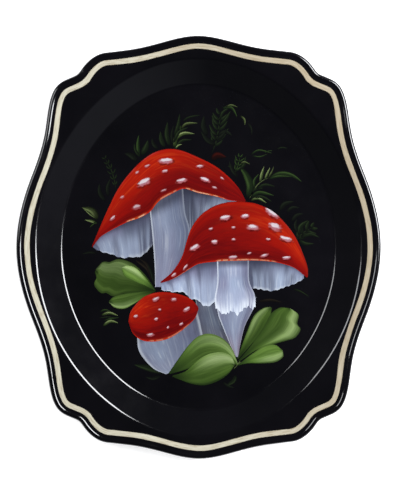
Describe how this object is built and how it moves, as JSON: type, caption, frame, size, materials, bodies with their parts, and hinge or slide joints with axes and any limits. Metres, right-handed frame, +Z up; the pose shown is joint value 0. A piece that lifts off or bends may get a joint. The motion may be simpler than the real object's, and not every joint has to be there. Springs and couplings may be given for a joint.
{
  "type": "painted metal tray",
  "caption": "Oval-welled pressed steel tray with a scalloped, wire-rolled rim, black lacquer, a painted mushroom still life and a cream border line, for serving or hanging.",
  "frame": {"origin": "centre of the underside of the floor, where the tray rests on a table", "axes": "+Z up out of the well, +Y towards the top of the painted picture, +X towards its right side"},
  "size_m": [0.3104, 0.3602, 0.0198],
  "materials": {
    "black_lacquer": "gloss",
    "steel_wire": "satin",
    "cream_line_paint": "gloss",
    "red_cap_paint": "gloss",
    "white_gill_paint": "gloss",
    "green_leaf_paint": "gloss"
  },
  "bodies": {
    "root": {"tray_body": "black_lacquer", "rim_wire": "steel_wire", "hanging_loop": "black_lacquer", "loop_clip_left": "black_lacquer", "loop_clip_right": "black_lacquer"}
  },
  "joints": []
}
